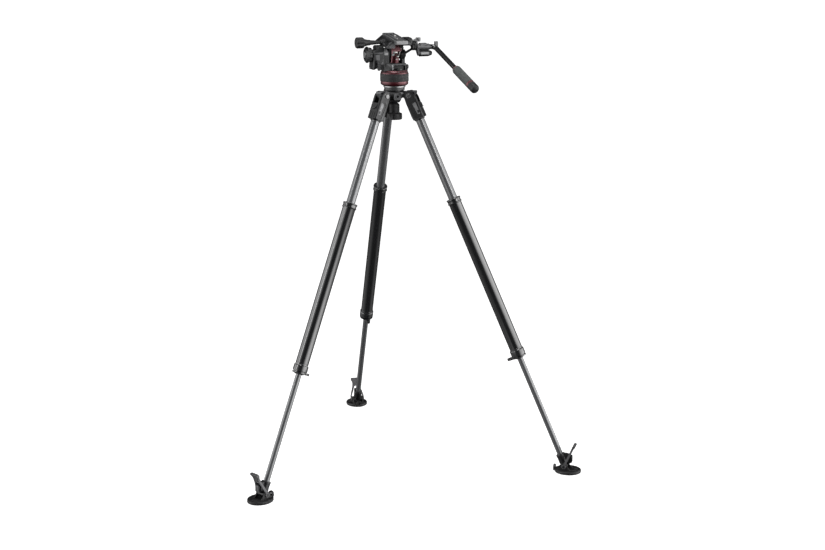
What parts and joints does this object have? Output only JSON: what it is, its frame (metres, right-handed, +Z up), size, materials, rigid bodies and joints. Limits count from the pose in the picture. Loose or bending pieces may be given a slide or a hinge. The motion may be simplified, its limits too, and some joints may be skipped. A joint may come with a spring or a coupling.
{
  "type": "tripod with fluid head",
  "caption": "Standing tripod with telescoping legs, twist-lock sleeves, swivelling shoes and a fluid video head with sliding camera plate and pan bar.",
  "frame": {"origin": "on the floor, under the middle of the whole part's bounding box; the bowl's upright axis stands at x = +25.4 mm, y = -128.8 mm", "axes": "+Z up, +Y the way the lens looks, -Y the operator's side, +X the operator's right; the tilt axis runs along X"},
  "size_m": [1.113, 1.0174, 1.4361],
  "materials": {
    "cast_black": "satin",
    "gloss_tube": "gloss",
    "carbon_tube": "satin",
    "rubber_black": "matte",
    "red_metal": "satin anodised",
    "bright_steel": "satin",
    "grip_foam": "matte foam",
    "vial_glass": "clear"
  },
  "bodies": {
    "crown": {"crown": "cast_black"},
    "washer": {"clamp_washer": "cast_black"},
    "head_base": {"half_ball": "cast_black", "base_plate": "bright_steel", "lower_ring": "red_metal"},
    "clamp": {"clamp_handle": "rubber_black"},
    "drag_ring": {"pan_drag_ring": "rubber_black"},
    "pan_body": {"upper_ring": "red_metal", "pan_frame": "cast_black", "bubble_level": "vial_glass", "side_housing": "cast_black", "piston_cylinder": "red_metal"},
    "pan_lock": {"pan_lock_knob": "cast_black"},
    "balance": {"balance_dial": "rubber_black"},
    "tilt_drag": {"tilt_drag_dial": "rubber_black"},
    "tilt_lock": {"tilt_lock_lever": "cast_black"},
    "piston": {"piston_rod": "bright_steel"},
    "tilt_body": {"tilt_axle_left": "bright_steel", "tilt_axle_right": "bright_steel", "platform": "cast_black", "rosette_mount": "cast_black"},
    "slide_plate": {"camera_plate": "cast_black"},
    "screw": {"camera_screw": "bright_steel"},
    "plate_lock": {"plate_lock_knob": "rubber_black"},
    "release": {"release_lever": "cast_black"},
    "bar": {"bar_clamp": "cast_black", "pan_bar": "cast_black", "bar_grip": "grip_foam", "grip_cap": "rubber_black"},
    "wing": {"clamp_wing": "cast_black"},
    "leg_left": {"leg_knuckle_left": "cast_black", "hinge_bolt_left": "bright_steel", "upper_tube_left": "carbon_tube"},
    "latch_left": {"angle_latch_left": "cast_black"},
    "carrier_left": {"lower_collar_left": "cast_black"},
    "sleeve_left": {"lock_sleeve_left": "gloss_tube"},
    "stage_left": {"lower_tube_left": "carbon_tube", "foot_tip_left": "cast_black"},
    "pad_left": {"shoe_left": "rubber_black"},
    "clip_left": {"shoe_lever_left": "cast_black"},
    "leg_right": {"leg_knuckle_right": "cast_black", "hinge_bolt_right": "bright_steel", "upper_tube_right": "carbon_tube"},
    "latch_right": {"angle_latch_right": "cast_black"},
    "carrier_right": {"lower_collar_right": "cast_black"},
    "sleeve_right": {"lock_sleeve_right": "gloss_tube"},
    "stage_right": {"lower_tube_right": "carbon_tube", "foot_tip_right": "cast_black"},
    "pad_right": {"shoe_right": "rubber_black"},
    "clip_right": {"shoe_lever_right": "cast_black"},
    "leg_rear": {"leg_knuckle_rear": "cast_black", "hinge_bolt_rear": "bright_steel", "upper_tube_rear": "carbon_tube"},
    "latch_rear": {"angle_latch_rear": "cast_black"},
    "carrier_rear": {"lower_collar_rear": "cast_black"},
    "sleeve_rear": {"lock_sleeve_rear": "gloss_tube"},
    "stage_rear": {"lower_tube_rear": "carbon_tube", "foot_tip_rear": "cast_black"},
    "pad_rear": {"shoe_rear": "rubber_black"},
    "clip_rear": {"shoe_lever_rear": "cast_black"}
  },
  "joints": [
    {"name": "pan", "type": "hinge", "parent": "head_base", "child": "pan_body", "pos_m": [0.02536, -0.12885, 1.29], "axis": [0, 0, 1], "continuous": true},
    {"name": "tilt", "type": "hinge", "parent": "pan_body", "child": "tilt_body", "pos_m": [0.02536, -0.12885, 1.372], "axis": [1, 0, 0], "range_deg": [-75, 60]},
    {"name": "bar_angle", "type": "hinge", "parent": "tilt_body", "child": "bar", "pos_m": [0.08536, -0.16385, 1.4], "axis": [1, 0, 0], "range_deg": [-70, 30]},
    {"name": "plate_slide", "type": "slide", "parent": "tilt_body", "child": "slide_plate", "axis": [0, 0.9925, 0.1219], "range_m": [-0.02, 0.02]},
    {"name": "clamp_turn", "type": "hinge", "parent": "head_base", "child": "clamp", "pos_m": [0.02536, -0.12885, 1.17], "axis": [0, 0, 1], "continuous": true},
    {"name": "pan_drag", "type": "hinge", "parent": "head_base", "child": "drag_ring", "pos_m": [0.02536, -0.12885, 1.296], "axis": [0, 0, 1], "range_deg": [-150, 150]},
    {"name": "balance_set", "type": "hinge", "parent": "pan_body", "child": "balance", "pos_m": [-0.06964, -0.12885, 1.372], "axis": [1, 0, 0], "range_deg": [-150, 150]},
    {"name": "tilt_drag_set", "type": "hinge", "parent": "pan_body", "child": "tilt_drag", "pos_m": [-0.05964, -0.12885, 1.372], "axis": [1, 0, 0], "range_deg": [-150, 150]},
    {"name": "tilt_lock_swing", "type": "hinge", "parent": "pan_body", "child": "tilt_lock", "pos_m": [-0.03864, -0.15885, 1.35], "axis": [0, 1, 0], "range_deg": [-45, 45]},
    {"name": "pan_lock_turn", "type": "hinge", "parent": "pan_body", "child": "pan_lock", "pos_m": [0.07036, -0.11485, 1.329], "axis": [1, 0, 0], "range_deg": [-45, 90]},
    {"name": "plate_lock_turn", "type": "hinge", "parent": "tilt_body", "child": "plate_lock", "pos_m": [-0.09264, -0.13366, 1.41121], "axis": [1, 0, 0], "range_deg": [-180, 180]},
    {"name": "release_swing", "type": "hinge", "parent": "tilt_body", "child": "release", "pos_m": [0.07936, -0.129, 1.4143], "axis": [0, -0.1219, 0.9925], "range_deg": [-40, 0]},
    {"name": "camera_screw_turn", "type": "hinge", "parent": "slide_plate", "child": "screw", "pos_m": [0.02536, -0.13458, 1.41865], "axis": [0, -0.1219, 0.9925], "continuous": true},
    {"name": "wing_turn", "type": "hinge", "parent": "bar", "child": "wing", "pos_m": [0.11036, -0.18385, 1.377], "axis": [1, 0, 0], "range_deg": [-180, 180]},
    {"name": "piston_stroke", "type": "slide", "parent": "pan_body", "child": "piston", "axis": [0, 0, 1], "range_m": [-0.008, 0], "stiffness_N_per_m": 200},
    {"name": "level_fore_aft", "type": "hinge", "parent": "crown", "child": "washer", "pos_m": [0.02536, -0.12885, 1.256], "axis": [1, 0, 0], "range_deg": [-4, 4]},
    {"name": "level_side", "type": "hinge", "parent": "washer", "child": "head_base", "pos_m": [0.02536, -0.12885, 1.256], "axis": [0, 1, 0], "range_deg": [-4, 4]},
    {"name": "spread_left", "type": "hinge", "parent": "crown", "child": "leg_left", "pos_m": [-0.02169, -0.15099, 1.24], "axis": [-0.4258, 0.9048, 0], "range_deg": [-22, 46]},
    {"name": "extend_upper_left", "type": "slide", "parent": "leg_left", "child": "carrier_left", "axis": [-0.3644, -0.1715, -0.9153], "range_m": [-0.275, 0.19]},
    {"name": "twist_left", "type": "hinge", "parent": "carrier_left", "child": "sleeve_left", "pos_m": [-0.25856, -0.26245, 0.64505], "axis": [-0.3644, -0.1715, -0.9153], "range_deg": [0, 90]},
    {"name": "extend_lower_left", "type": "slide", "parent": "carrier_left", "child": "stage_left", "axis": [-0.3644, -0.1715, -0.9153], "range_m": [-0.35, 0.12]},
    {"name": "shoe_tilt_left", "type": "hinge", "parent": "stage_left", "child": "pad_left", "pos_m": [-0.50582, -0.3788, 0.024], "axis": [0.4258, -0.9048, 0], "range_deg": [-30, 30]},
    {"name": "clip_left_swing", "type": "hinge", "parent": "stage_left", "child": "clip_left", "pos_m": [-0.50582, -0.3788, 0.024], "axis": [0.4258, -0.9048, 0], "range_deg": [-15, 60]},
    {"name": "latch_left_press", "type": "slide", "parent": "leg_left", "child": "latch_left", "axis": [-0.3644, -0.1715, -0.9153], "range_m": [0, 0.005], "stiffness_N_per_m": 50},
    {"name": "spread_right", "type": "hinge", "parent": "crown", "child": "leg_right", "pos_m": [0.06806, -0.15852, 1.24], "axis": [-0.5707, -0.8211, 0], "range_deg": [-22, 46]},
    {"name": "extend_upper_right", "type": "slide", "parent": "leg_right", "child": "carrier_right", "axis": [0.3307, -0.2299, -0.9153], "range_m": [-0.275, 0.19]},
    {"name": "twist_right", "type": "hinge", "parent": "carrier_right", "child": "sleeve_right", "pos_m": [0.28302, -0.30793, 0.64505], "axis": [0.3307, -0.2299, -0.9153], "range_deg": [0, 90]},
    {"name": "extend_lower_right", "type": "slide", "parent": "carrier_right", "child": "stage_right", "axis": [0.3307, -0.2299, -0.9153], "range_m": [-0.35, 0.12]},
    {"name": "shoe_tilt_right", "type": "hinge", "parent": "stage_right", "child": "pad_right", "pos_m": [0.50742, -0.46389, 0.024], "axis": [0.5707, 0.8211, 0], "range_deg": [-30, 30]},
    {"name": "clip_right_swing", "type": "hinge", "parent": "stage_right", "child": "clip_right", "pos_m": [0.50742, -0.46389, 0.024], "axis": [0.5707, 0.8211, 0], "range_deg": [-15, 60]},
    {"name": "latch_right_press", "type": "slide", "parent": "leg_right", "child": "latch_right", "axis": [0.3307, -0.2299, -0.9153], "range_m": [0, 0.005], "stiffness_N_per_m": 50},
    {"name": "spread_rear", "type": "hinge", "parent": "crown", "child": "leg_rear", "pos_m": [0.02971, -0.07703, 1.24], "axis": [0.9965, -0.0837, 0], "range_deg": [-22, 46]},
    {"name": "extend_upper_rear", "type": "slide", "parent": "leg_rear", "child": "carrier_rear", "axis": [0.0337, 0.4013, -0.9153], "range_m": [-0.275, 0.19]},
    {"name": "twist_rear", "type": "hinge", "parent": "carrier_rear", "child": "sleeve_rear", "pos_m": [0.05162, 0.18384, 0.64505], "axis": [0.0337, 0.4013, -0.9153], "range_deg": [0, 90]},
    {"name": "extend_lower_rear", "type": "slide", "parent": "carrier_rear", "child": "stage_rear", "axis": [0.0337, 0.4013, -0.9153], "range_m": [-0.35, 0.12]},
    {"name": "shoe_tilt_rear", "type": "hinge", "parent": "stage_rear", "child": "pad_rear", "pos_m": [0.07448, 0.45615, 0.024], "axis": [-0.9965, 0.0837, 0], "range_deg": [-30, 30]},
    {"name": "clip_rear_swing", "type": "hinge", "parent": "stage_rear", "child": "clip_rear", "pos_m": [0.07448, 0.45615, 0.024], "axis": [-0.9965, 0.0837, 0], "range_deg": [-15, 60]},
    {"name": "latch_rear_press", "type": "slide", "parent": "leg_rear", "child": "latch_rear", "axis": [0.0337, 0.4013, -0.9153], "range_m": [0, 0.005], "stiffness_N_per_m": 50}
  ]
}
